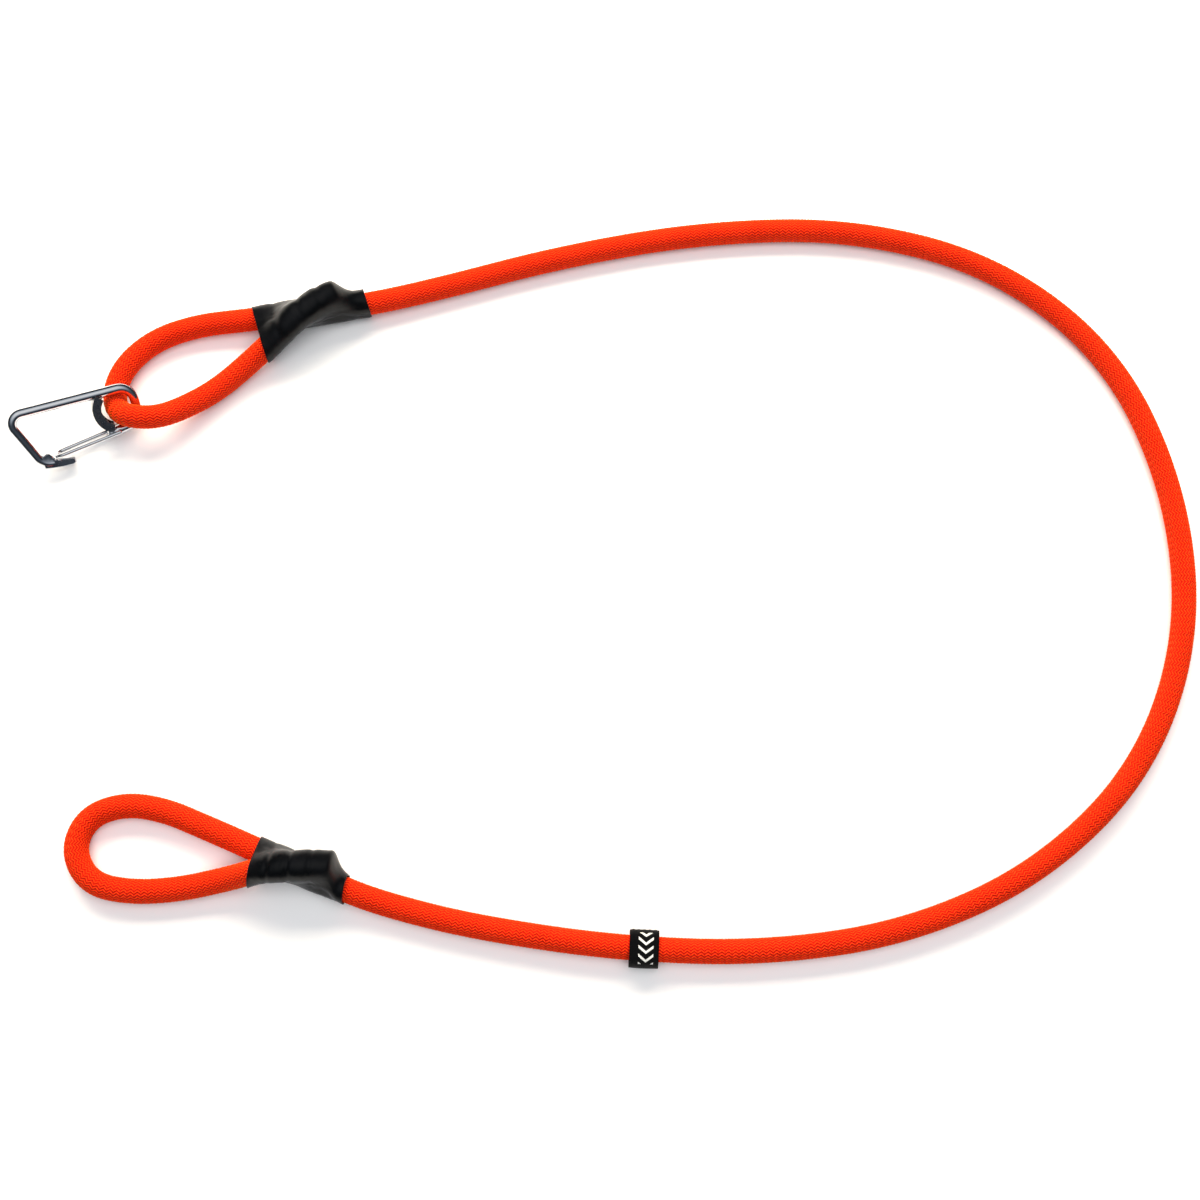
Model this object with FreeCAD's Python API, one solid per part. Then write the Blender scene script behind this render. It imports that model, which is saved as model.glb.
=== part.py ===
import FreeCAD, Part
import math
import os

# A short rope tether with an eye at each end, laid on a table.  All sizes are millimetres.
# The origin is under the middle of the whole tether, on the table top: +X to the right of the
# tether as it lies, +Y across it, +Z up.

# ---- Driving dimensions ---------------------------------------------------------------------
ROPE_DIAMETER = 11.6
SHEATH_WALL = 1.6            # braided cover
CORE_GAP = 0.4               # slack between the core bundle and the cover
SLEEVE_CLEARANCE = 0.9       # sleeve bore outside the rope's surface, which leaves room for a clamp
MOUTH_CLEARANCE = 0.4        # the same at the sleeve's ends, where there is no clamp
SLEEVE_WALL = 0.9            # heat-shrink tube after shrinking
SLEEVE_OFF_TABLE = 0.1
CLAMP_CLEARANCE = 0.2
CLAMP_WALL = 0.5
CLAMP_WIDTH = 4.0
TAIL_TIP_THICKNESS = 1.6     # melted, slightly mushroomed end of the rope
TAIL_TIP_RADIUS = 6.0
TAIL_TIP_ROUNDING = 0.6
LABEL_TAPE_WALL = 0.7
LABEL_TAPE_WIDTH = 13.4      # half-inch tape
LABEL_LOOP_WIDTH = 17.4      # outside, across the rope
LABEL_LOOP_HEIGHT = 14.2     # outside, table to top
STITCH_DIAMETER = 0.5
STITCH_LENGTH = 1.7
STITCH_COUNT = 5
STITCH_GAP = 0.02            # between the stitches and the tape
LABEL_AT = (22.4, -177.6)
LABEL_TURN = -2.5            # degrees, to lie square to the rope
BAR_DIAMETER = 5.0           # carabiner bar
GATE_WIRE_DIAMETER = 2.0
GATE_HINGE_OFFSET = 5.2      # each gate leg's centre from the carabiner's plane, at the hinge
GATE_NOSE_OFFSET = 4.1       # the same at the nose
GATE_PIN_DIAMETER = 1.6
GATE_PIN_PLAY = 0.06         # radial play of the gate's pins in the pivot hole
GATE_PIN_SHORT = 0.6         # how far each pin stops short of the carabiner's plane
NOSE_THICKNESS = 4.6
NOSE_CHAMFER = 0.5
THIMBLE_HALF_WIDTH = 3.6
THIMBLE_WALL = 1.0
THIMBLE_GAP = 0.1            # between the thimble and the bar it is pressed against

ROPE_RADIUS = ROPE_DIAMETER / 2
SLEEVE_OUTSIDE = ROPE_RADIUS + SLEEVE_CLEARANCE + SLEEVE_WALL
TABLE = ROPE_RADIUS                    # height of the rope's centre where it lies on the table
IN_SLEEVE = SLEEVE_OUTSIDE + SLEEVE_OFF_TABLE   # height of its centre where a sleeve is under it

# ---- Route of the rope, tail to tail --------------------------------------------------------
# The dead end of each eye crosses over the standing part inside its sleeve.
EYE_A_ROUTE = [
    (-130.5, 139.0, 20.4), (-139.5, 133.5, 21.0), (-148.5, 127.0, 19.4), (-156.5, 120.0, 14.5),
    (-169.0, 110.5, 8.0), (-186.0, 95.5, TABLE), (-200.0, 85.0, 9.3), (-213.0, 77.5, 13.6),
    (-225.0, 76.5, 16.3), (-235.0, 81.7, 10.45), (-238.0, 94.5, 6.5), (-232.5, 108.0, 7.2),
    (-219.0, 121.5, TABLE), (-198.5, 129.0, TABLE), (-174.5, 131.0, IN_SLEEVE),
]
MAIN_ROUTE = [
    (-122.0, 137.6, 8.3), (-85.0, 147.0, TABLE), (-15.0, 167.0, TABLE),
    (57.0, 180.0, TABLE), (131.0, 181.5, TABLE), (201.5, 161.5, TABLE), (256.5, 114.0, TABLE),
    (282.5, 45.5, TABLE), (284.5, -27.5, TABLE), (258.0, -94.0, TABLE), (206.5, -142.5, TABLE),
    (144.0, -170.0, TABLE), (78.0, -179.5, TABLE), (12.0, -177.5, 7.4), (-53.5, -168.0, TABLE),
    (-94.5, -158.0, TABLE), (-117.5, -150.0, IN_SLEEVE),
]
EYE_B_ROUTE = [
    (-161.0, -130.5, IN_SLEEVE), (-182.0, -121.5, TABLE), (-200.0, -114.0, TABLE),
    (-219.0, -111.0, TABLE), (-236.0, -117.0, TABLE), (-242.0, -132.5, TABLE),
    (-233.0, -148.0, TABLE), (-213.0, -152.0, TABLE), (-191.0, -150.5, TABLE),
    (-172.0, -146.5, 7.0), (-161.5, -144.5, 11.8), (-152.0, -142.5, 17.6),
    (-143.0, -141.5, 20.5), (-132.0, -141.0, 20.5), (-122.5, -140.6, 19.5),
]
ARC_SHARE = 0.45             # of the shorter run, taken by the arc at each point

# ---- Sleeves --------------------------------------------------------------------------------
# Each sleeve's axis, from its mouth at the eye to its mouth at the standing part.
SLEEVE_A_AXIS = [(-166.8, 122.6), (-113.6, 139.6)]
SLEEVE_B_AXIS = [(-156.5, -138.8), (-113.4, -147.2)]
SLEEVE_A_STATIONS = [0.0, 0.10, 0.20, 0.26, 0.30, 0.34, 0.41, 0.52, 0.63, 0.75, 0.86, 1.0]
SLEEVE_B_STATIONS = [
    0.0, 0.05, 0.10, 0.15, 0.20, 0.25, 0.30, 0.35, 0.41, 0.52, 0.64, 0.76, 0.83, 0.92, 1.0,
]
CLAMP_STATIONS = {"1": 0.30, "2": 0.52}
ROOMY_STATIONS = (0.15, 0.7)   # the stretch of a sleeve that is over clamps
HULL_SIDES = 36              # sides of each section of a sleeve or clamp
NEAR_SLEEVE = 30.0           # a rope farther than this from a sleeve's axis is not in it
LEAST_STEPS = 4              # straight steps that stand for one edge of a rope's centre line
MOUTH_SPREAD = 4.0           # how steeply the far mouth gapes above the rope that leaves it
MOUTH_SPREAD_END = 1.6       # station at which that gape would close

# ---- Carabiner, in its own plane ------------------------------------------------------------
# Its x runs along the gate from the nose to the hinge, its y from the gate to the spine, and
# its z is square to its plane.
CARABINER_AT = FreeCAD.Vector(-258.6, 62.4, 7.3)
CARABINER_TURN = FreeCAD.Rotation(27.0, 4.3, 39.6)     # yaw, pitch, roll in degrees
BAR_CORNERS = [(-8.0, -2.9), (-13.2, -1.7), (-19.9, 26.9), (41.0, 17.5), (38.4, -0.6), (23.4, -0.6)]
BAR_CORNER_RADII = [7.0, 5.5, 7.0, 7.6]
NOSE_PROFILE = [
    (-13.4, -3.7), (-9.9, -4.9), (-4.6, -6.3), (0.4, -7.1), (1.9, -6.4), (2.0, -4.3), (1.2, -3.6),
    (-4.9, -1.9), (-6.6, -1.2), (-7.4, 0.6), (-8.4, 2.4), (-9.8, 3.0), (-11.3, 2.4), (-13.0, 1.0),
]
PIVOT = (27.0, -0.6)
GATE_NOSE = (-5.6, -0.1)     # outermost point of the gate's nose loop
GATE_NOSE_BEND = 3.8
ROPE_SEAT = (30.4, 10.0)     # middle of the rope in the eyelet
THIMBLE_INNER_RADIUS = 7.7
THIMBLE_OUTER_RADIUS = 11.9
THIMBLE_ANGLES = (124.0, 238.0)


def vector(point):
    return FreeCAD.Vector(*point)


# ---- Paths ----------------------------------------------------------------------------------
def rounded_path(points, radii=None):
    """Straight runs joined by tangent arcs, as a list of edges, and the arcs' radii."""
    corners = [vector(point) for point in points]
    arcs = []
    found_radii = []
    for index in range(1, len(corners) - 1):
        before = corners[index - 1] - corners[index]
        after = corners[index + 1] - corners[index]
        turn = math.pi - before.getAngle(after)
        if radii is None:
            tangent = ARC_SHARE * min(before.Length, after.Length)
        else:
            tangent = radii[index - 1] * math.tan(turn / 2)
        radius = tangent / math.tan(turn / 2)
        found_radii.append(radius)
        before.normalize()
        after.normalize()
        start = corners[index] + before * tangent
        end = corners[index] + after * tangent
        inward = (before + after).normalize()
        reach = radius / math.cos(turn / 2) - radius
        arcs.append((start, corners[index] + inward * reach, end))
    edges = []
    here = corners[0]
    for start, middle, end in arcs:
        edges.append(Part.LineSegment(here, start).toShape())
        edges.append(Part.Arc(start, middle, end).toShape())
        here = end
    edges.append(Part.LineSegment(here, corners[-1]).toShape())
    return edges, found_radii


def split_run(edges, run):
    """Cut the path in two at the middle of one straight run."""
    line = edges[2 * run]
    start = line.valueAt(line.FirstParameter)
    end = line.valueAt(line.LastParameter)
    middle = (start + end) * 0.5
    first = edges[:2 * run] + [Part.LineSegment(start, middle).toShape()]
    second = [Part.LineSegment(middle, end).toShape()] + edges[2 * run + 1:]
    return first, second


def ring_face(centre, normal, outer, inner=0.0):
    disc = Part.Face(Part.Wire(Part.Circle(centre, normal, outer).toShape()))
    if inner == 0.0:
        return disc
    return disc.cut(Part.Face(Part.Wire(Part.Circle(centre, normal, inner).toShape()))).Faces[0]


def sweep(edges, outer, inner=0.0):
    """A round bar or tube along a path of lines and tangent arcs."""
    first = edges[0]
    start = first.valueAt(first.FirstParameter)
    direction = first.tangentAt(first.FirstParameter)
    return Part.Wire(edges).makePipe(ring_face(start, direction, outer, inner))


def path_length(edges):
    return sum(edge.Length for edge in edges)


# ---- Rope -----------------------------------------------------------------------------------
ROUTE = EYE_A_ROUTE + MAIN_ROUTE + EYE_B_ROUTE
route_edges, route_radii = rounded_path(ROUTE)
SPLIT_IN_SLEEVE_A = len(EYE_A_ROUTE) - 1
SPLIT_IN_SLEEVE_B = len(EYE_A_ROUTE) + len(MAIN_ROUTE) - 1
up_to_b, eye_b_edges = split_run(route_edges, SPLIT_IN_SLEEVE_B)
eye_a_edges, main_edges = split_run(up_to_b, SPLIT_IN_SLEEVE_A)


def rope_piece(edges):
    sheath = sweep(edges, ROPE_RADIUS, ROPE_RADIUS - SHEATH_WALL)
    core = sweep(edges, ROPE_RADIUS - SHEATH_WALL - CORE_GAP)
    return sheath, core


def tail_tip(end, outward):
    """Melted end: a thick button a little wider than the rope, rounded at its rim."""
    button = Part.makeCylinder(TAIL_TIP_RADIUS, TAIL_TIP_THICKNESS, end, outward)
    return button.makeFillet(TAIL_TIP_ROUNDING, button.Edges)


# ---- Sleeve and clamps ----------------------------------------------------------------------
def crossing(edges, origin, axis):
    """Where a rope's centre line goes through the plane across a sleeve, and how it leans there."""
    for edge in edges:
        count = max(LEAST_STEPS, int(edge.Length))
        step = (edge.LastParameter - edge.FirstParameter) / count
        last = edge.valueAt(edge.FirstParameter)
        for index in range(1, count + 1):
            point = edge.valueAt(edge.FirstParameter + index * step)
            a = (last - origin).dot(axis)
            b = (point - origin).dot(axis)
            if a * b <= 0 and a != b and (point - origin).Length < NEAR_SLEEVE:
                run = point - last
                return last + run * (a / (a - b)), run * (1 / run.dot(axis)) - axis
            last = point
    return None


def leg_edge(centre, lean, outward):
    """The outermost point, in one direction, of a rope where a plane cuts it aslant."""
    share = lean.dot(outward)
    return centre + (outward + lean * share) * (ROPE_RADIUS / math.sqrt(1 + share * share))


def hull_wire(legs, offset, axis):
    """The outline of a skin stretched round the legs, in the plane square to the axis."""
    side = FreeCAD.Vector(0, 0, 1).cross(axis)
    up = axis.cross(side)
    corners = []
    for index in range(HULL_SIDES):
        angle = 2 * math.pi * index / HULL_SIDES
        outward = side * math.cos(angle) + up * math.sin(angle)
        reached = [leg_edge(centre, lean, outward) for centre, lean in legs]
        corners.append(max(reached, key=outward.dot) + outward * offset)
    return Part.makePolygon(corners + corners[:1])


def skin_section(station, axis_ends, standing, dead_end, offset):
    start = FreeCAD.Vector(axis_ends[0][0], axis_ends[0][1], IN_SLEEVE)
    end = FreeCAD.Vector(axis_ends[1][0], axis_ends[1][1], IN_SLEEVE)
    axis = (end - start).normalize()
    origin = start + axis * (station * start.distanceToPoint(end))
    main, main_lean = crossing(standing, origin, axis)
    tail = crossing(dead_end, origin, axis)
    if tail is None:
        tail = (main + FreeCAD.Vector(0, 0, MOUTH_SPREAD * (MOUTH_SPREAD_END - station)), main_lean)
    return hull_wire([(main, main_lean), tail], offset, axis)


def skin(stations, axis_ends, standing, dead_end, clearances, wall):
    """A tube drawn tight over both legs of an eye."""
    inside = []
    outside = []
    for station, clearance in zip(stations, clearances):
        inside.append(skin_section(station, axis_ends, standing, dead_end, clearance))
        outside.append(skin_section(station, axis_ends, standing, dead_end, clearance + wall))
    return Part.makeLoft(outside, True, True).cut(Part.makeLoft(inside, True, True))


def sleeve_clearance(station):
    roomy = ROOMY_STATIONS[0] < station < ROOMY_STATIONS[1]
    return SLEEVE_CLEARANCE if roomy else MOUTH_CLEARANCE


# ---- Label ----------------------------------------------------------------------------------
def stadium_tube(width, height, wall, length):
    """A flattened tape loop, its opening along x, its flat faces up and down."""
    loops = []
    for inset in (0.0, wall):
        radius = height / 2 - inset
        reach = (width - height) / 2
        edges = [
            Part.LineSegment(FreeCAD.Vector(0, -reach, radius), FreeCAD.Vector(0, reach, radius)),
            Part.Arc(FreeCAD.Vector(0, reach, radius), FreeCAD.Vector(0, reach + radius, 0),
                     FreeCAD.Vector(0, reach, -radius)),
            Part.LineSegment(FreeCAD.Vector(0, reach, -radius), FreeCAD.Vector(0, -reach, -radius)),
            Part.Arc(FreeCAD.Vector(0, -reach, -radius), FreeCAD.Vector(0, -reach - radius, 0),
                     FreeCAD.Vector(0, -reach, radius)),
        ]
        loops.append(Part.Wire([edge.toShape() for edge in edges]))
    outside, inside = [Part.Face(loop) for loop in loops]
    face = outside.cut(inside)
    face.translate(FreeCAD.Vector(-length / 2, 0, 0))
    return face.extrude(FreeCAD.Vector(length, 0, 0))


def label_pieces():
    band = stadium_tube(LABEL_LOOP_WIDTH, LABEL_LOOP_HEIGHT, LABEL_TAPE_WALL, LABEL_TAPE_WIDTH)
    stitches = []
    spacing = LABEL_TAPE_WIDTH / STITCH_COUNT
    for index in range(STITCH_COUNT):
        x = (index - (STITCH_COUNT - 1) / 2) * spacing
        y = LABEL_LOOP_WIDTH / 2 + STITCH_DIAMETER / 2 + STITCH_GAP
        stitch = Part.makeCylinder(
            STITCH_DIAMETER / 2, STITCH_LENGTH, FreeCAD.Vector(x - STITCH_LENGTH / 2, y, 0),
            FreeCAD.Vector(1, 0, 0))
        stitches.append(stitch)
    return band, Part.makeCompound(stitches)


# ---- Carabiner ------------------------------------------------------------------------------
def bar(extra=0.0):
    edges, _ = rounded_path([(x, y, 0) for x, y in BAR_CORNERS], BAR_CORNER_RADII)
    return sweep(edges, BAR_DIAMETER / 2 + extra)


def carabiner_body():
    """Bent round bar with a forged, flat-sided nose and a cross-drilled hinge end."""
    outline = [FreeCAD.Vector(x, y, -NOSE_THICKNESS / 2) for x, y in NOSE_PROFILE]
    nose = Part.Face(Part.makePolygon(outline + outline[:1])).extrude(
        FreeCAD.Vector(0, 0, NOSE_THICKNESS))
    nose = nose.makeChamfer(NOSE_CHAMFER, [edge for edge in nose.Edges if abs(edge.tangentAt(0).z) < 0.1])
    hinge_cap = Part.makeSphere(BAR_DIAMETER / 2, FreeCAD.Vector(*BAR_CORNERS[-1], 0))
    pivot_hole = Part.makeCylinder(
        GATE_PIN_DIAMETER / 2 + GATE_PIN_PLAY, 2 * BAR_DIAMETER,
        FreeCAD.Vector(PIVOT[0], PIVOT[1], -BAR_DIAMETER))
    return bar().fuse(nose).fuse(hinge_cap).cut(pivot_hole).removeSplitter()


def gate():
    """One bent wire: a pin into the pivot hole, a leg, the round nose loop, and back."""
    wire_radius = GATE_WIRE_DIAMETER / 2
    path, _ = rounded_path(
        [(*PIVOT, -GATE_HINGE_OFFSET), (*GATE_NOSE, -GATE_NOSE_OFFSET),
         (*GATE_NOSE, GATE_NOSE_OFFSET), (*PIVOT, GATE_HINGE_OFFSET)],
        [GATE_NOSE_BEND, GATE_NOSE_BEND])
    pieces = []
    for side in (-1, 1):
        bend = FreeCAD.Vector(*PIVOT, side * GATE_HINGE_OFFSET)
        pieces.append(Part.makeSphere(wire_radius, bend))
        pieces.append(Part.makeCylinder(GATE_PIN_DIAMETER / 2, GATE_HINGE_OFFSET - GATE_PIN_SHORT, bend,
                                        FreeCAD.Vector(0, 0, -side)))
    return sweep(path, wire_radius).multiFuse(pieces).removeSplitter()


def thimble():
    """A pressed gutter that closes the eyelet and carries the rope's inner side."""
    half = THIMBLE_HALF_WIDTH
    web = THIMBLE_OUTER_RADIUS - THIMBLE_WALL
    flange = half - THIMBLE_WALL
    section = [
        (THIMBLE_INNER_RADIUS, -half), (THIMBLE_OUTER_RADIUS, -half), (THIMBLE_OUTER_RADIUS, half),
        (THIMBLE_INNER_RADIUS, half), (THIMBLE_INNER_RADIUS, flange), (web, flange),
        (web, -flange), (THIMBLE_INNER_RADIUS, -flange),
    ]
    corners = [FreeCAD.Vector(r, 0, z) for r, z in section]
    face = Part.Face(Part.makePolygon(corners + corners[:1]))
    face.rotate(FreeCAD.Vector(), FreeCAD.Vector(0, 0, 1), THIMBLE_ANGLES[0])
    ring = face.revolve(FreeCAD.Vector(), FreeCAD.Vector(0, 0, 1),
                        THIMBLE_ANGLES[1] - THIMBLE_ANGLES[0])
    ring.translate(FreeCAD.Vector(*ROPE_SEAT, 0))
    hinge_cap = Part.makeSphere(BAR_DIAMETER / 2 + THIMBLE_GAP, FreeCAD.Vector(*BAR_CORNERS[-1], 0))
    return ring.cut(bar(THIMBLE_GAP)).cut(hinge_cap)


# ---- Assembly -------------------------------------------------------------------------------
DEAD_END_RUNS = 5            # runs of an eye that belong to its dead end, counted from the tail


def write(node, shape):
    shape.exportStep(f"parts/{node}.step")
    box = shape.optimalBoundingBox()
    print(f"{node:20s} solids {len(shape.Solids):2d}  valid {shape.isValid()}  "
          f"volume {shape.Volume:9.1f}  z {box.ZMin:6.2f} to {box.ZMax:6.2f}")
    return box


os.makedirs("parts", exist_ok=True)
parts = {}
for name, edges in (("eye_a", eye_a_edges), ("rope_main", main_edges), ("eye_b", eye_b_edges)):
    parts[name + "_sheath"], parts[name + "_core"] = rope_piece(edges)

tail_a = eye_a_edges[0].valueAt(eye_a_edges[0].FirstParameter)
outward_a = eye_a_edges[0].tangentAt(eye_a_edges[0].FirstParameter) * -1
tail_b = eye_b_edges[-1].valueAt(eye_b_edges[-1].LastParameter)
outward_b = eye_b_edges[-1].tangentAt(eye_b_edges[-1].LastParameter)
parts["tail_tip_a"] = tail_tip(tail_a, outward_a)
parts["tail_tip_b"] = tail_tip(tail_b, outward_b)


def past_the_tip(point, outward):
    """The dead end's line carried on through its melted tip, which the sleeve also covers."""
    return Part.LineSegment(point, point + outward * (2 * TAIL_TIP_THICKNESS)).toShape()


standing_a = eye_a_edges[2 * DEAD_END_RUNS:] + main_edges[:4]
standing_b = main_edges[-4:] + eye_b_edges[:-2 * DEAD_END_RUNS]
dead_end_a = [past_the_tip(tail_a, outward_a)] + eye_a_edges[:2 * DEAD_END_RUNS]
dead_end_b = eye_b_edges[-2 * DEAD_END_RUNS:] + [past_the_tip(tail_b, outward_b)]
for eye, stations, axis_ends, standing, dead_end in (
        ("a", SLEEVE_A_STATIONS, SLEEVE_A_AXIS, standing_a, dead_end_a),
        ("b", SLEEVE_B_STATIONS, SLEEVE_B_AXIS, standing_b, dead_end_b)):
    clearances = [sleeve_clearance(station) for station in stations]
    parts[f"sleeve_{eye}"] = skin(stations, axis_ends, standing, dead_end, clearances, SLEEVE_WALL)
    for number, station in CLAMP_STATIONS.items():
        half = CLAMP_WIDTH / 2 / math.dist(*axis_ends)
        parts[f"clamp_{eye}{number}"] = skin(
            [station - half, station, station + half], axis_ends, standing, dead_end,
            [CLAMP_CLEARANCE] * 3, CLAMP_WALL)

band, stitches = label_pieces()
for name, shape in (("label_band", band), ("label_stitches", stitches)):
    shape.rotate(FreeCAD.Vector(), FreeCAD.Vector(0, 0, 1), LABEL_TURN)
    shape.translate(FreeCAD.Vector(*LABEL_AT, LABEL_LOOP_HEIGHT / 2))
    parts[name] = shape

place = FreeCAD.Placement(CARABINER_AT, CARABINER_TURN)
for name, shape in (("carabiner_body", carabiner_body()), ("carabiner_thimble", thimble()),
                    ("carabiner_gate", gate())):
    shape.transformShape(place.toMatrix())
    parts[name] = shape

whole = FreeCAD.BoundBox()
for node, shape in parts.items():
    whole.add(write(node, shape))

print("arc radii", " ".join(f"{radius:.0f}" for radius in route_radii))
print(f"rope length {path_length(route_edges):.1f}")
for name, edges in (("eye_a", eye_a_edges), ("rope_main", main_edges), ("eye_b", eye_b_edges)):
    section = math.pi * (ROPE_RADIUS - SHEATH_WALL - CORE_GAP) ** 2
    print(f"{name} core volume over section x length "
          f"{parts[name + '_core'].Volume / section / path_length(edges):.4f}")
print(f"whole box x {whole.XMin:.1f} {whole.XMax:.1f}  y {whole.YMin:.1f} {whole.YMax:.1f}  "
      f"z {whole.ZMin:.2f} {whole.ZMax:.2f}")
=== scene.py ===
import math

import bmesh
import bpy
import numpy as np
from mathutils import Matrix, Vector, noise
from mathutils.bvhtree import BVHTree


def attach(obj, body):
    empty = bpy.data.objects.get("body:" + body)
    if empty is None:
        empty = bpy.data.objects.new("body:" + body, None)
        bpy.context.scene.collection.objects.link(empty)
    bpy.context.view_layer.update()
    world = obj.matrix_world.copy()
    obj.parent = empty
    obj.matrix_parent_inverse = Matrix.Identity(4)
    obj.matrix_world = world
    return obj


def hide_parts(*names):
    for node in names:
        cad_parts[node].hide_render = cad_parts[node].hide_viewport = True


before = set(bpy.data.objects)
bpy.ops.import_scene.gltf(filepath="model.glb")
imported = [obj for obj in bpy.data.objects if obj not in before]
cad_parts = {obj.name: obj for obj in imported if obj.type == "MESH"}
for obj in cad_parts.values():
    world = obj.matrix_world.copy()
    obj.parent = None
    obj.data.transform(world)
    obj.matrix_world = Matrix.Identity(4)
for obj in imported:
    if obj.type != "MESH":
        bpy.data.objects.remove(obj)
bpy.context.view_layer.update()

MM = 0.001


# ---- Rope: the line it lies in ----------------------------------------------------------------
# One length of 12 mm accessory rope from the dead end of the upper eye to the dead end of the
# lower one. It lies on the table, goes through the carabiner's eyelet at the upper eye, and at
# both eyes its dead end climbs over the standing part.
on_table = 5.8               # height of the rope's centre, in mm
in_sleeve = 7.7              # the same where a sleeve is under it
upper_eye = [
    (-130.5, 139.0, 20.4), (-139.5, 133.5, 21.0), (-148.5, 127.0, 19.4), (-156.5, 120.0, 14.5),
    (-169.0, 110.5, 8.0), (-186.0, 95.5, on_table), (-200.0, 85.0, 9.3), (-213.0, 77.5, 13.6),
    (-225.0, 76.5, 16.3), (-235.0, 81.7, 10.45), (-238.0, 94.5, 6.5), (-232.5, 108.0, 7.2),
    (-219.0, 121.5, on_table), (-198.5, 129.0, on_table), (-174.5, 131.0, in_sleeve),
]
long_part = [
    (-122.0, 137.6, 8.3), (-85.0, 147.0, on_table), (-15.0, 167.0, on_table),
    (57.0, 180.0, on_table), (131.0, 181.5, on_table), (201.5, 161.5, on_table),
    (256.5, 114.0, on_table), (282.5, 45.5, on_table), (284.5, -27.5, on_table),
    (258.0, -94.0, on_table), (206.5, -142.5, on_table), (144.0, -170.0, on_table),
    (78.0, -179.5, on_table), (12.0, -177.5, 7.4), (-53.5, -168.0, on_table),
    (-94.5, -158.0, on_table), (-117.5, -150.0, in_sleeve),
]
lower_eye = [
    (-161.0, -130.5, in_sleeve), (-182.0, -121.5, on_table), (-200.0, -114.0, on_table),
    (-219.0, -111.0, on_table), (-236.0, -117.0, on_table), (-242.0, -132.5, on_table),
    (-233.0, -148.0, on_table), (-213.0, -152.0, on_table), (-191.0, -150.5, on_table),
    (-172.0, -146.5, 7.0), (-161.5, -144.5, 11.8), (-152.0, -142.5, 17.6),
    (-143.0, -141.5, 20.5), (-132.0, -141.0, 20.5), (-122.5, -140.6, 19.5),
]
route = upper_eye + long_part + lower_eye
line_data = bpy.data.curves.new("rope_line", "CURVE")
line_data.dimensions = "3D"
line_data.resolution_u = 48
spline = line_data.splines.new("NURBS")
spline.points.add(len(route) - 1)
for point, place in zip(spline.points, route):
    point.co = (place[0] * MM, place[1] * MM, place[2] * MM, 1.0)
spline.order_u = 3
spline.use_endpoint_u = True
line_object = bpy.data.objects.new("rope_line", line_data)
line_mesh = bpy.data.meshes.new_from_object(line_object)
line = np.array([vertex.co[:] for vertex in line_mesh.vertices])
bpy.data.objects.remove(line_object)
line_at = np.concatenate([[0.0], np.cumsum(np.linalg.norm(np.diff(line, axis=0), axis=1))])
rope_length = float(line_at[-1])


# ---- Rope: plaited cover ----------------------------------------------------------------------
# A cover of dyed polyester yarns plaited over a white core. On its surface the yarns make fine
# ridges that zigzag along the rope, each leg of a zigzag being one yarn before it dives under
# the next. The tube's wall follows the zigzags, with a row of points on each crest and groove.
rope_radius = 5.8 * MM
ridge_count = 24
zigzag_pitch = 3.12 * MM     # along the rope, one left and one right leg
rings_per_pitch = 4
crest_depth = 0.5 * MM       # from the crest of a ridge to the groove beside it
leg_swell = 0.12 * MM        # a yarn stands proudest in the middle of its leg
zigzag_swing = 0.43          # sideways, each way, as a share of the spacing of the ridges
joined_within = 0.01 * MM    # points closer than this are one point
ring_count = round(rope_length / zigzag_pitch * rings_per_pitch)
ring_at = np.linspace(0.0, rope_length, ring_count + 1)
centres = np.stack([np.interp(ring_at, line_at, line[:, axis]) for axis in range(3)], axis=1)
tangents = np.gradient(centres, axis=0)
tangents /= np.linalg.norm(tangents, axis=1)[:, None]


def carried_along(tangents):
    """Two directions square to the rope at each ring, carried along it without twisting."""
    sides = []
    side = np.cross(tangents[0], (0.0, 0.0, 1.0))
    for tangent in tangents:
        side = side - tangent * side.dot(tangent)
        side /= np.linalg.norm(side)
        sides.append(side)
    sides = np.array(sides)
    return sides, np.cross(tangents, sides)


def finished(name, mesh_maker, smooth=True):
    """Turn a bmesh into a shown object at the origin."""
    mesh = bpy.data.meshes.new(name)
    mesh_maker.to_mesh(mesh)
    mesh_maker.free()
    mesh.polygons.foreach_set("use_smooth", [smooth] * len(mesh.polygons))
    shown = bpy.data.objects.new(name, mesh)
    bpy.context.scene.collection.objects.link(shown)
    return shown


sides, ups = carried_along(tangents)
plait = bmesh.new()
plait_uv = plait.loops.layers.uv.new("plait")
bmesh.ops.create_grid(plait, x_segments=ring_count, y_segments=2 * ridge_count, size=0.5)
ridge_angle = 2 * math.pi / ridge_count
for face in plait.faces:
    for loop in face.loops:
        loop[plait_uv].uv = ((loop.vert.co.x + 0.5) * ring_count / rings_per_pitch,
                             (loop.vert.co.y + 0.5) * ridge_count)
for vertex in plait.verts:
    ring = round((vertex.co.x + 0.5) * ring_count)
    row = round((vertex.co.y + 0.5) * 2 * ridge_count)
    phase = ring % rings_per_pitch
    swing = zigzag_swing * (1 - abs(phase - 2))
    angle = (row / 2 + swing) * ridge_angle
    reach = rope_radius - leg_swell
    if row % 2:
        reach -= crest_depth
    elif phase % 2:
        reach += leg_swell
    place = centres[ring] + reach * (math.cos(angle) * sides[ring] + math.sin(angle) * ups[ring])
    vertex.co = place
bmesh.ops.remove_doubles(plait, verts=plait.verts, dist=joined_within)
bmesh.ops.holes_fill(plait, edges=[edge for edge in plait.edges if edge.is_boundary], sides=0)
bmesh.ops.recalc_face_normals(plait, faces=plait.faces)
rope = finished("rope", plait)


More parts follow.
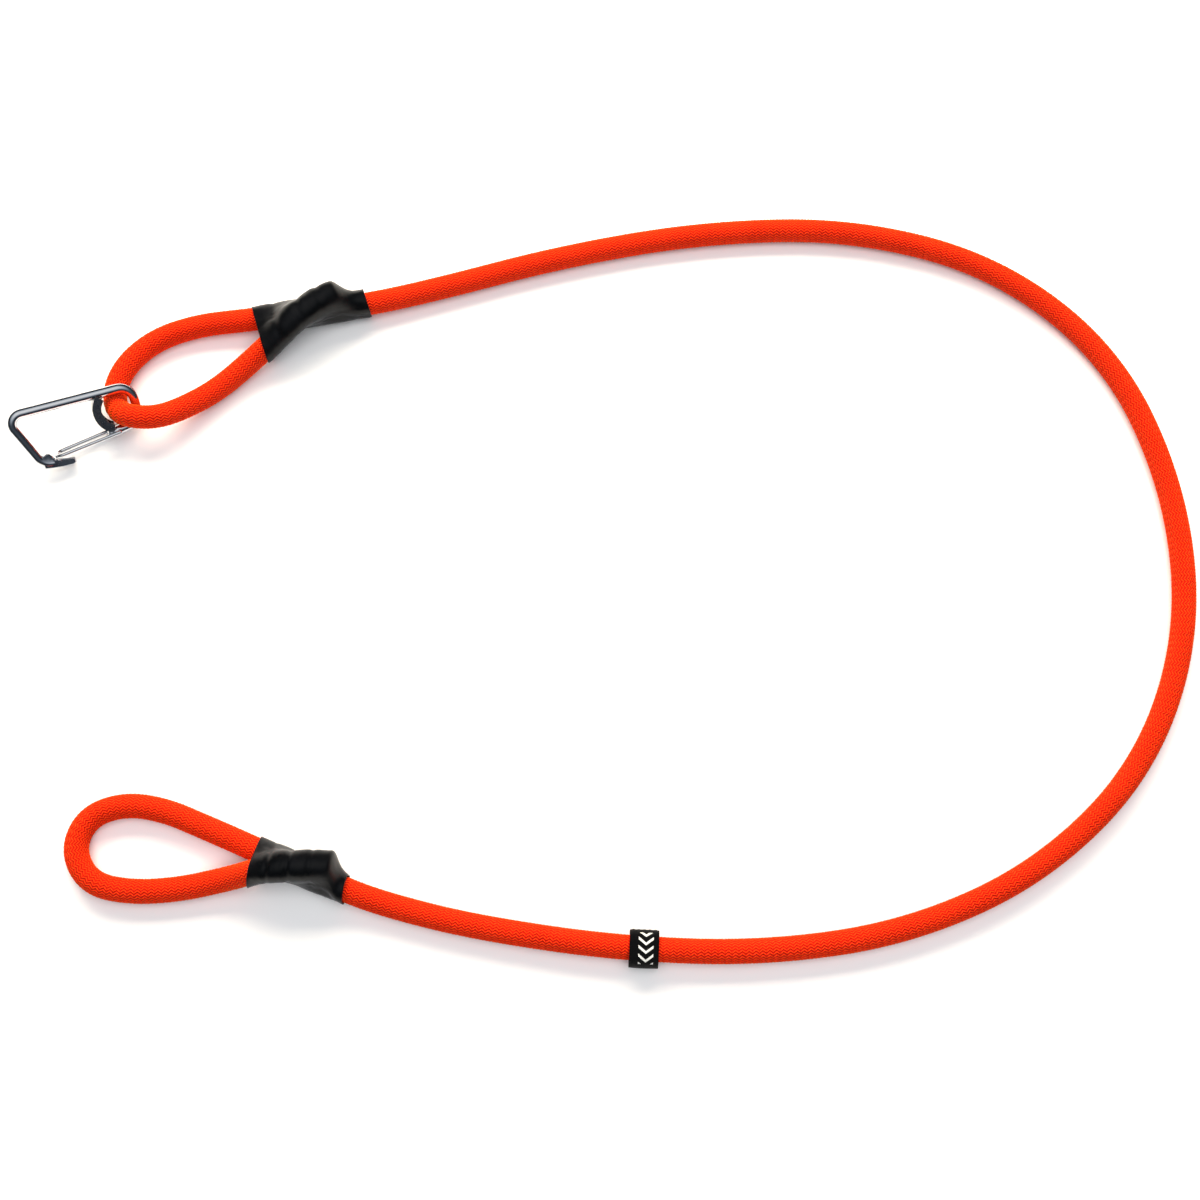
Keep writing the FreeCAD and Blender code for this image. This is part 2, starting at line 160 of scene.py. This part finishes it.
def linear(code):
    """An sRGB hex colour as linear red, green, blue and alpha."""
    parts = [int(code[index:index + 2], 16) / 255 for index in (1, 3, 5)]
    return (*[p / 12.92 if p < 0.04045 else ((p + 0.055) / 1.055) ** 2.4 for p in parts], 1.0)


def add(material, kind, inputs=None, stops=(), **settings):
    """Add a node with its settings, its inputs as values or other outputs, and a ramp's stops."""
    node = material.node_tree.nodes.new(kind)
    for name, value in settings.items():
        setattr(node, name, value)
    for socket, value in (inputs or {}).items():
        if isinstance(value, bpy.types.NodeSocket):
            material.node_tree.links.new(value, node.inputs[socket])
        else:
            node.inputs[socket].default_value = value
    while len(stops) > len(node.color_ramp.elements if stops else ()):
        node.color_ramp.elements.new(0.5)
    for index, (place, code) in enumerate(stops):
        node.color_ramp.elements[index].position = place
        node.color_ramp.elements[index].color = linear(code)
    return node


def new_material(name):
    material = bpy.data.materials.new(name)
    material.use_nodes = True
    material.node_tree.nodes.clear()
    return material


# Solution-dyed polyester yarn, plaited: matt, with a soft bloom of loose filaments that catches
# light at grazing angles. Its colour carries painted light: crests are painted bright red-orange
# as a highlight and the grooves between yarns are painted down to deep red as shade. Filaments
# are 0.03 mm and drawn at 0.2 mm, which is as fine as shows.
yarn = new_material("plaited polyester yarn, red-orange")
uv = add(yarn, "ShaderNodeUVMap", uv_map="plait").outputs["UV"]
apart = add(yarn, "ShaderNodeSeparateXYZ", {0: uv})
turn = add(yarn, "ShaderNodeMath", {0: apart.outputs["Y"], 1: 2 * math.pi}, operation="MULTIPLY")
crest = add(yarn, "ShaderNodeMath", {0: turn.outputs[0]}, operation="COSINE")
leg_turn = add(yarn, "ShaderNodeMath", {0: apart.outputs["X"], 1: 2 * math.pi},
               operation="MULTIPLY")
leg = add(yarn, "ShaderNodeMath", {0: leg_turn.outputs[0]}, operation="SINE")
leg_size = add(yarn, "ShaderNodeMath", {0: leg.outputs[0]}, operation="ABSOLUTE")
height = add(yarn, "ShaderNodeMapRange",
             {"Value": crest.outputs[0], "From Min": -1.0, "From Max": 1.0})
yarn_top = add(yarn, "ShaderNodeMapRange", {"Value": leg_size.outputs[0], "To Min": 0.62})
yarn_height = add(yarn, "ShaderNodeMath",
                  {0: height.outputs["Result"], 1: yarn_top.outputs["Result"]},
                  operation="MULTIPLY")
filament_at = add(yarn, "ShaderNodeMapping", {"Vector": uv, "Scale": (2.5, 9.0, 1.0)})
filaments = add(yarn, "ShaderNodeTexNoise",
                {"Vector": filament_at.outputs["Vector"], "Scale": 1.0, "Detail": 3.0})
rough_height = add(yarn, "ShaderNodeMath", {0: filaments.outputs["Fac"], 1: 0.35,
                                            2: yarn_height.outputs[0]}, operation="MULTIPLY_ADD")
patches_at = add(yarn, "ShaderNodeTexCoord").outputs["Object"]
patches = add(yarn, "ShaderNodeTexNoise", {"Vector": patches_at, "Scale": 60.0, "Detail": 2.0})
# Painted shade and highlight: the groove-to-crest height, proudest mid-leg, darkens the grooves and
# lightens the crests; the noise patches add random tone on top.
patches_and_groove_shade = add(yarn, "ShaderNodeMath", {0: patches.outputs["Fac"], 1: 0.16,
                                     2: rough_height.outputs[0]}, operation="MULTIPLY_ADD")
# The low stops are painted groove shade, the high stops painted crest highlight.
yarn_colour_with_painted_shade = add(yarn, "ShaderNodeValToRGB", {"Fac": patches_and_groove_shade.outputs[0]}, stops=[
    (0.12, "#7c0604"), (0.40, "#d01406"), (0.70, "#f0220a"), (1.0, "#fc4012")])
yarn_bump = add(yarn, "ShaderNodeBump", {"Strength": 0.8, "Distance": 0.5 * MM,
                                         "Height": rough_height.outputs[0]})
yarn_shader = add(yarn, "ShaderNodeBsdfPrincipled", {
    "Base Color": yarn_colour_with_painted_shade.outputs["Color"], "Roughness": 0.68,
    "Normal": yarn_bump.outputs["Normal"], "Specular IOR Level": 0.12, "Sheen Weight": 1.0,
    "Sheen Roughness": 0.36, "Sheen Tint": linear("#ffa02c")})
add(yarn, "ShaderNodeOutputMaterial", {"Surface": yarn_shader.outputs["BSDF"]})
rope.data.materials.append(yarn)
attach(rope, "rope")
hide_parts("eye_a_sheath", "eye_a_core", "rope_main_sheath", "rope_main_core",
            "eye_b_sheath", "eye_b_core")


# ---- Melted rope ends -------------------------------------------------------------------------
# Both ends of the rope are melted to a hard button so that the plait can't run. They are under
# the sleeves, where each makes the bump near the far mouth.
melt = new_material("melted polyester, dark red")
melt_at = add(melt, "ShaderNodeTexCoord").outputs["Object"]
melt_spots = add(melt, "ShaderNodeTexNoise", {"Vector": melt_at, "Scale": 900.0, "Detail": 4.0})
melt_colour = add(melt, "ShaderNodeValToRGB", {"Fac": melt_spots.outputs["Fac"]},
                  stops=[(0.35, "#3a0a04"), (0.65, "#8a1c08")])
melt_bump = add(melt, "ShaderNodeBump", {"Strength": 0.5, "Distance": 0.3 * MM,
                                         "Height": melt_spots.outputs["Fac"]})
melt_shader = add(melt, "ShaderNodeBsdfPrincipled", {
    "Base Color": melt_colour.outputs["Color"], "Roughness": 0.35,
    "Normal": melt_bump.outputs["Normal"]})
add(melt, "ShaderNodeOutputMaterial", {"Surface": melt_shader.outputs["BSDF"]})


def refinish(node_name, material):
    """Give a CAD node the material of the real finish."""
    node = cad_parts[node_name]
    node.data.materials.clear()
    node.data.materials.append(material)


for node_name in ("tail_tip_a", "tail_tip_b"):
    refinish(node_name, melt)


# ---- Clamps -----------------------------------------------------------------------------------
# Two stainless bands are crimped round both legs of each eye, under the sleeve. Nothing of them
# shows but the shape that they give the sleeve.
band_steel = new_material("rolled stainless strip")
strip_at = add(band_steel, "ShaderNodeTexCoord").outputs["Object"]
strip_grain = add(band_steel, "ShaderNodeTexNoise", {"Vector": strip_at, "Scale": 700.0})
strip_rough = add(band_steel, "ShaderNodeMapRange", {"Value": strip_grain.outputs["Fac"],
                                                     "To Min": 0.28, "To Max": 0.42})
strip_shader = add(band_steel, "ShaderNodeBsdfPrincipled", {
    "Base Color": linear("#a9abae"), "Metallic": 1.0, "Roughness": strip_rough.outputs["Result"]})
add(band_steel, "ShaderNodeOutputMaterial", {"Surface": strip_shader.outputs["BSDF"]})
for node_name in ("clamp_a1", "clamp_a2", "clamp_b1", "clamp_b2"):
    refinish(node_name, band_steel)


# ---- Heat-shrink sleeves ----------------------------------------------------------------------
# Black polyolefin tube, about 50 mm long, shrunk over both legs of each eye with hot air. It
# draws tight over the dead end's tip, pinches in beside the clamps and puckers a little where
# it shrank unevenly. Its cut mouths stay open where only one leg comes out.
sleeve_rows = 88             # rings along the tube
sleeve_columns = 84          # points round it
sleeve_wall = 0.5 * MM
drawn_in = 0.4 * MM          # how far the tube draws inside its design size
smoothing = 36               # passes along the tube that ease its hollows
round_smoothing = 6          # passes round it
short_of_design = 0.2 * MM   # how much lower than its design size a ridge may sink
far_out = 60 * MM            # outside the tube, from where its surface is looked for
inside_mouth = 0.004         # the end rings are measured this share inside the mouths
fold_length = 9 * MM         # of the tube's slow folds, along it
fold_height = 0.45 * MM
fold_turns = 1.6             # how quickly the folds change round the tube
pucker_length = 3.2 * MM
pucker_height = 0.1 * MM
pucker_turns = 2.2
pinch_slant = 0.02           # a pinch runs a little aslant round the tube
pinch_share = (0.55, 0.45)   # a pinch's depth all round, and what its upper side adds
pinch_turn = 0.4             # where that side is, in radians past the tube's side
plain_mouth = 2 * MM         # the cut mouths are rounder than the rest
least_swell = 0.25           # share of the folds that is left at a mouth


def shrunk_radii(node_name, mouth, far_mouth):
    """Each ring's centre, and how far the tube stands from it in each direction."""
    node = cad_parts[node_name]
    tree = BVHTree.FromObject(node, bpy.context.evaluated_depsgraph_get())
    start = Vector((*mouth, 0.0)) * MM
    along = Vector((*far_mouth, 0.0)) * MM - start
    side = Vector((0.0, 0.0, 1.0)).cross(along).normalized()
    up = Vector((0.0, 0.0, 1.0))
    feet = []
    heights = np.zeros(sleeve_rows + 1)
    for row in range(sleeve_rows + 1):
        feet.append(start + along * min(max(row / sleeve_rows, inside_mouth), 1 - inside_mouth))
        top = tree.ray_cast(feet[row] + up * far_out, -up)[0].z
        bottom = tree.ray_cast(feet[row] - up * far_out, up)[0].z
        heights[row] = (top + bottom) / 2
    for _ in range(smoothing):
        heights[1:-1] = (heights[:-2] + 2 * heights[1:-1] + heights[2:]) / 4
    ring_centres = []
    radii = np.zeros((sleeve_rows + 1, sleeve_columns))
    for row in range(sleeve_rows + 1):
        middle = feet[row] + up * heights[row]
        ring_centres.append(middle)
        for column in range(sleeve_columns):
            angle = 2 * math.pi * column / sleeve_columns
            way = side * math.cos(angle) + up * math.sin(angle)
            hit = tree.ray_cast(middle + way * far_out, -way)[0]
            radii[row, column] = (hit - middle).length - drawn_in
    return ring_centres, radii, along, side, up


def sleeve(name, node_name, mouth, far_mouth, pinches, seed):
    """A shrunk tube; each pinch is its place and width along the tube, and its depth in mm."""
    ring_centres, radii, along, side, up = shrunk_radii(node_name, mouth, far_mouth)
    least = radii - short_of_design
    for _ in range(smoothing):
        radii[1:-1] = (radii[:-2] + 2 * radii[1:-1] + radii[2:]) / 4
    radii = np.maximum(radii, least)
    for _ in range(round_smoothing):
        radii[1:-1] = (radii[:-2] + 2 * radii[1:-1] + radii[2:]) / 4
        radii = (np.roll(radii, 1, axis=1) + 2 * radii + np.roll(radii, -1, axis=1)) / 4
    length = along.length
    tube = bmesh.new()
    bmesh.ops.create_grid(tube, x_segments=sleeve_rows, y_segments=sleeve_columns, size=0.5)
    for vertex in tube.verts:
        row = round((vertex.co.x + 0.5) * sleeve_rows)
        column = round((vertex.co.y + 0.5) * sleeve_columns) % sleeve_columns
        share = row / sleeve_rows
        angle = 2 * math.pi * column / sleeve_columns
        way = side * math.cos(angle) + up * math.sin(angle)
        fold = Vector((share * length / fold_length, math.cos(angle) * fold_turns + seed,
                       math.sin(angle) * fold_turns))
        swell = fold_height * noise.noise(fold)
        pucker = Vector((share * length / pucker_length, math.cos(angle) * pucker_turns + seed,
                         math.sin(angle) * pucker_turns))
        swell += pucker_height * (0.5 - abs(noise.noise(pucker)) * 2)
        for pinch, width, depth in pinches:
            lean = pinch + pinch_slant * math.sin(angle + seed)
            upper = pinch_share[0] + pinch_share[1] * math.sin(angle + pinch_turn)
            swell -= depth * MM * upper * math.exp(-((share - lean) / width) ** 2)
        from_mouth = min(share, 1 - share) * length / plain_mouth
        swell *= min(1.0, least_swell + from_mouth)
        vertex.co = ring_centres[row] + way * (radii[row, column] + swell)
    bmesh.ops.remove_doubles(tube, verts=tube.verts, dist=joined_within)
    face = tube.faces[:][0]
    face.normal_update()
    if face.normal.dot(face.calc_center_median() - ring_centres[0]) < 0:
        bmesh.ops.reverse_faces(tube, faces=tube.faces)
    made = finished(name, tube)
    wall = made.modifiers.new("wall", "SOLIDIFY")
    wall.thickness = sleeve_wall
    wall.offset = -1.0
    wall.use_even_offset = True
    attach(made, "rope")
    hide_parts(node_name)
    return made


upper_sleeve = sleeve("upper_sleeve", "sleeve_a", (-166.8, 122.6), (-113.6, 139.6),
                      [(0.19, 0.03, 0.6), (0.42, 0.03, 0.5), (0.62, 0.03, 0.55)], 3.0)
lower_sleeve = sleeve("lower_sleeve", "sleeve_b", (-156.5, -138.8), (-113.4, -147.2),
                      [(0.19, 0.03, 0.55), (0.41, 0.03, 0.7), (0.63, 0.03, 0.55)], 11.0)

# Shrunk polyolefin is satin black, smoother where it is stretched and faintly puckered where it
# isn't. The pucker is about 2 mm across.
shrink = new_material("shrunk polyolefin, satin black")
shrink_at = add(shrink, "ShaderNodeTexCoord").outputs["Object"]
puckers = add(shrink, "ShaderNodeTexNoise",
              {"Vector": shrink_at, "Scale": 450.0, "Detail": 4.0, "Roughness": 0.6})
grime = add(shrink, "ShaderNodeTexNoise", {"Vector": shrink_at, "Scale": 90.0, "Detail": 3.0})
shrink_rough = add(shrink, "ShaderNodeMapRange",
                   {"Value": grime.outputs["Fac"], "From Min": 0.3, "From Max": 0.7,
                    "To Min": 0.3, "To Max": 0.42})
shrink_colour = add(shrink, "ShaderNodeValToRGB", {"Fac": grime.outputs["Fac"]},
                    stops=[(0.3, "#040506"), (0.7, "#0a0b0e")])
shrink_bump = add(shrink, "ShaderNodeBump", {"Strength": 0.3, "Distance": 0.2 * MM,
                                             "Height": puckers.outputs["Fac"]})
shrink_shader = add(shrink, "ShaderNodeBsdfPrincipled", {
    "Base Color": shrink_colour.outputs["Color"], "Roughness": shrink_rough.outputs["Result"],
    "Specular IOR Level": 0.16, "Normal": shrink_bump.outputs["Normal"]})
add(shrink, "ShaderNodeOutputMaterial", {"Surface": shrink_shader.outputs["BSDF"]})
for made in (upper_sleeve, lower_sleeve):
    made.data.materials.append(shrink)


# ---- Woven label ------------------------------------------------------------------------------
# A loop of half-inch black tape round the rope, woven with a white pattern and sewn to itself at
# its upper side. It is loose, and folded flat at both sides of the rope.
tape_wall = 0.6 * MM
tape_width = 13.4 * MM
loop_half = (8.7 * MM, 7.1 * MM)
tape_round = 2 * math.pi * 7.9 * MM
label_turn = math.radians(-2.5)
label_middle = Vector((22.4, -177.6, 7.1)) * MM
tape_columns = 96            # points round the loop
tape_rows = 16               # and across the tape
boxiness = 2.7               # 2 is an ellipse, more is squarer
edge_sag = 0.02              # how much smaller the loop is at the tape's two edges
tape = bmesh.new()
tape_uv = tape.loops.layers.uv.new("tape")
bmesh.ops.create_grid(tape, x_segments=tape_rows, y_segments=tape_columns, size=0.5)
label_along = Vector((math.cos(label_turn), math.sin(label_turn), 0.0))
label_side = Vector((-math.sin(label_turn), math.cos(label_turn), 0.0))
for face in tape.faces:
    for loop in face.loops:
        loop[tape_uv].uv = ((loop.vert.co.x + 0.5) * tape_width,
                            (loop.vert.co.y + 0.5) * tape_round)
for vertex in tape.verts:
    angle = 2 * math.pi * (vertex.co.y + 0.5)
    over = vertex.co.x * tape_width
    corner = abs(math.cos(angle)) ** boxiness + abs(math.sin(angle)) ** boxiness
    boxy = 1.0 / corner ** (1 / boxiness)
    sag = 1.0 - edge_sag * (2 * vertex.co.x) ** 2
    across = label_side * (math.cos(angle) * boxy * loop_half[0] * sag)
    rise = Vector((0.0, 0.0, math.sin(angle) * boxy * loop_half[1] * sag))
    vertex.co = label_middle + label_along * over + across + rise
bmesh.ops.remove_doubles(tape, verts=tape.verts, dist=joined_within)
bmesh.ops.recalc_face_normals(tape, faces=tape.faces)
label = finished("label", tape)
thickness = label.modifiers.new("thickness", "SOLIDIFY")
thickness.thickness = tape_wall
thickness.offset = -1.0

# Woven label: fine black polyester satin with a white weft pattern of plain chevrons. Threads are
# 0.1 mm apart and drawn 0.7 mm apart, which is as fine as shows.
woven = new_material("woven polyester tape, black with white pattern")
tape_at = add(woven, "ShaderNodeUVMap", uv_map="tape").outputs["UV"]
tape_apart = add(woven, "ShaderNodeSeparateXYZ", {0: tape_at})
over_tape = tape_apart.outputs["X"]
round_loop = tape_apart.outputs["Y"]
chevron_pitch = 3.4 * MM
chevron_line = 1.15 * MM
chevron_slope = 0.7
chevron_half = 3.4 * MM      # half the width of the column of chevrons
column_at = 0.56             # its middle, as a share of the tape's width
column_reach = 6.6 * MM      # how far it runs each way from the top of the loop
thread_spacing = 0.7 * MM
band_period = 0.31           # of the wave pattern's bands, at a scale of 1
from_middle = add(woven, "ShaderNodeMath", {0: over_tape, 1: column_at * tape_width},
                  operation="SUBTRACT")
off_middle = add(woven, "ShaderNodeMath", {0: from_middle.outputs[0]}, operation="ABSOLUTE")
slope = add(woven, "ShaderNodeMath", {0: off_middle.outputs[0], 1: chevron_slope, 2: round_loop},
            operation="MULTIPLY_ADD")
step = add(woven, "ShaderNodeMath", {0: slope.outputs[0], 1: chevron_pitch}, operation="MODULO")
thick = add(woven, "ShaderNodeMath", {0: step.outputs[0], 1: chevron_line}, operation="LESS_THAN")
inside = add(woven, "ShaderNodeMath", {0: off_middle.outputs[0], 1: chevron_half},
             operation="LESS_THAN")
top_side = add(woven, "ShaderNodeMath", {0: round_loop, 1: 0.25 * tape_round, 2: column_reach},
               operation="COMPARE")
in_column = add(woven, "ShaderNodeMath", {0: inside.outputs[0], 1: top_side.outputs[0]},
                operation="MULTIPLY")
white = add(woven, "ShaderNodeMath", {0: thick.outputs[0], 1: in_column.outputs[0]},
            operation="MULTIPLY")
threads = add(woven, "ShaderNodeTexWave", {"Vector": tape_at, "Scale": band_period / thread_spacing,
                                           "Distortion": 0.6}, bands_direction="Y")
mixed = add(woven, "ShaderNodeMix", {0: white.outputs[0], 6: linear("#070708"),
                                     7: linear("#dcdcd8")}, data_type="RGBA")
tape_bump = add(woven, "ShaderNodeBump", {"Strength": 0.5, "Distance": 0.15 * MM,
                                          "Height": threads.outputs["Fac"]})
woven_shader = add(woven, "ShaderNodeBsdfPrincipled", {
    "Base Color": mixed.outputs[2], "Roughness": 0.75, "Specular IOR Level": 0.2,
    "Normal": tape_bump.outputs["Normal"]})
add(woven, "ShaderNodeOutputMaterial", {"Surface": woven_shader.outputs["BSDF"]})
label.data.materials.append(woven)
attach(label, "label")
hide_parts("label_band")


# ---- Label stitches ---------------------------------------------------------------------------
# A short row of black polyester lockstitches closes the tape's loop at its upper side. Each is
# one bead of thread pulled down into the weave.
stitch_count = 5
stitch_half = (0.75 * MM, 0.16 * MM, 0.16 * MM)
seam_share = 0.94            # of the tape's width, sewn
stitch_proud = 0.02 * MM     # how far a stitch's middle is outside the tape
seam = bmesh.new()
for number in range(stitch_count):
    shift = (number - (stitch_count - 1) / 2) * tape_width * seam_share / stitch_count
    bead = bmesh.ops.create_uvsphere(seam, u_segments=12, v_segments=8, radius=1.0)["verts"]
    bmesh.ops.scale(seam, verts=bead, vec=stitch_half)
    bmesh.ops.rotate(seam, verts=bead, matrix=Matrix.Rotation(label_turn, 3, "Z"))
    spot = label_middle + label_along * shift + label_side * (loop_half[0] + stitch_proud)
    bmesh.ops.translate(seam, verts=bead, vec=spot)
stitches = finished("label_seam", seam)

# Sewing thread: bonded black polyester with a slight shine, its twist too fine to show.
thread = new_material("bonded polyester thread, black")
thread_at = add(thread, "ShaderNodeTexCoord").outputs["Object"]
thread_fuzz = add(thread, "ShaderNodeTexNoise", {"Vector": thread_at, "Scale": 3000.0})
thread_rough = add(thread, "ShaderNodeMapRange", {"Value": thread_fuzz.outputs["Fac"],
                                                  "To Min": 0.4, "To Max": 0.6})
thread_shader = add(thread, "ShaderNodeBsdfPrincipled", {
    "Base Color": linear("#101013"), "Roughness": thread_rough.outputs["Result"]})
add(thread, "ShaderNodeOutputMaterial", {"Surface": thread_shader.outputs["BSDF"]})
stitches.data.materials.append(thread)
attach(stitches, "label")
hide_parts("label_stitches")


# ---- Carabiner --------------------------------------------------------------------------------
# Bent from 5 mm round stainless bar, its nose forged flat to catch the gate, then tumbled and
# polished. The gate is one bent spring wire. A pressed gutter closes the eyelet.
def merged_copy(node_name, name, soft_angle):
    """The CAD piece with its corners joined, so that round faces shade as round."""
    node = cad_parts[node_name]
    shape = bmesh.new()
    shape.from_mesh(node.data)
    bmesh.ops.remove_doubles(shape, verts=shape.verts, dist=0.002 * MM)
    for edge in shape.edges:
        if len(edge.link_faces) == 2 and edge.calc_face_angle() > soft_angle:
            edge.smooth = False
    made = finished(name, shape)
    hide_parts(node_name)
    return made


polished = new_material("polished stainless steel")
polished_at = add(polished, "ShaderNodeTexCoord").outputs["Object"]
scuffs = add(polished, "ShaderNodeTexNoise", {"Vector": polished_at, "Scale": 400.0, "Detail": 5.0})
polished_rough = add(polished, "ShaderNodeMapRange", {"Value": scuffs.outputs["Fac"],
                                                      "To Min": 0.06, "To Max": 0.2})
polished_shader = add(polished, "ShaderNodeBsdfPrincipled", {
    "Base Color": linear("#d8dade"), "Metallic": 1.0,
    "Roughness": polished_rough.outputs["Result"]})
add(polished, "ShaderNodeOutputMaterial", {"Surface": polished_shader.outputs["BSDF"]})
body = merged_copy("carabiner_body", "carabiner_bar", math.radians(28))
body.data.materials.append(polished)
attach(body, "carabiner")
gate = merged_copy("carabiner_gate", "wire_gate", math.radians(40))
gate.data.materials.append(polished)
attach(gate, "gate")
thimble = merged_copy("carabiner_thimble", "eyelet_gutter", math.radians(28))
dark_steel = new_material("pressed stainless steel, dark")
dark_at = add(dark_steel, "ShaderNodeTexCoord").outputs["Object"]
dark_marks = add(dark_steel, "ShaderNodeTexNoise", {"Vector": dark_at, "Scale": 500.0})
dark_rough = add(dark_steel, "ShaderNodeMapRange", {"Value": dark_marks.outputs["Fac"],
                                                    "To Min": 0.2, "To Max": 0.38})
dark_shader = add(dark_steel, "ShaderNodeBsdfPrincipled", {
    "Base Color": linear("#85898d"), "Metallic": 1.0, "Roughness": dark_rough.outputs["Result"]})
add(dark_steel, "ShaderNodeOutputMaterial", {"Surface": dark_shader.outputs["BSDF"]})
thimble.data.materials.append(dark_steel)
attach(thimble, "carabiner")


# ---- Stage ------------------------------------------------------------------------------------
# A pale table, a broad soft light beyond the tether, a weaker one over it, and the camera nearly
# overhead. The steel reflects the room's bright ceiling and dark walls, not the lamps.
table_top = bmesh.new()
bmesh.ops.create_grid(table_top, x_segments=1, y_segments=1, size=6.0)
bmesh.ops.translate(table_top, verts=table_top.verts, vec=(0.0, 0.0, -0.3 * MM))
floor = finished("floor", table_top, smooth=False)
paper = new_material("pale paper")
paper_shader = add(paper, "ShaderNodeBsdfPrincipled", {
    "Base Color": linear("#f8f8f8"), "Roughness": 0.9})
add(paper, "ShaderNodeOutputMaterial", {"Surface": paper_shader.outputs["BSDF"]})
floor.data.materials.append(paper)


def soft_light(name, place, size, power, colour):
    lamp = bpy.data.lights.new(name, "AREA")
    lamp.shape = "RECTANGLE"
    lamp.size, lamp.size_y = size
    lamp.energy = power
    lamp.color = linear(colour)[:3]
    holder = bpy.data.objects.new(name, lamp)
    holder.location = place
    holder.rotation_mode = "QUATERNION"
    holder.rotation_quaternion = (-Vector(place)).to_track_quat("-Z", "Y")
    holder.visible_glossy = False
    bpy.context.scene.collection.objects.link(holder)


soft_light("key", (-0.1, 1.05, 0.85), (1.7, 0.8), 48.0, "#fff4e0")
soft_light("overhead", (0.1, -0.35, 1.5), (1.4, 1.4), 14.0, "#ffffff")
world = bpy.data.worlds.new("studio")
world.use_nodes = True
world.node_tree.nodes.clear()
toward = add(world, "ShaderNodeTexCoord").outputs["Generated"]
split = add(world, "ShaderNodeSeparateXYZ", {0: toward})
walls = add(world, "ShaderNodeValToRGB", {"Fac": split.outputs["Z"]},
            stops=[(0.0, "#3c4148"), (0.40, "#2c3138"), (0.66, "#4c535c"), (0.84, "#bcc3cc"),
                   (0.97, "#ffffff")])
glow = add(world, "ShaderNodeBackground", {"Color": walls.outputs["Color"], "Strength": 0.9})
add(world, "ShaderNodeOutputWorld", {"Surface": glow.outputs["Background"]})
bpy.context.scene.world = world
bpy.context.scene.view_settings.view_transform = "Standard"

camera_data = bpy.data.cameras.new("camera")
camera_data.sensor_width = 36.0
camera_data.lens = 53.12
camera = bpy.data.objects.new("camera", camera_data)
camera.location = (0.0024, -0.2257, 0.8289)
camera.rotation_euler = (math.radians(14.5), 0.0, 0.0)
camera_data.clip_start = 0.01
bpy.context.scene.collection.objects.link(camera)
bpy.context.scene.camera = camera
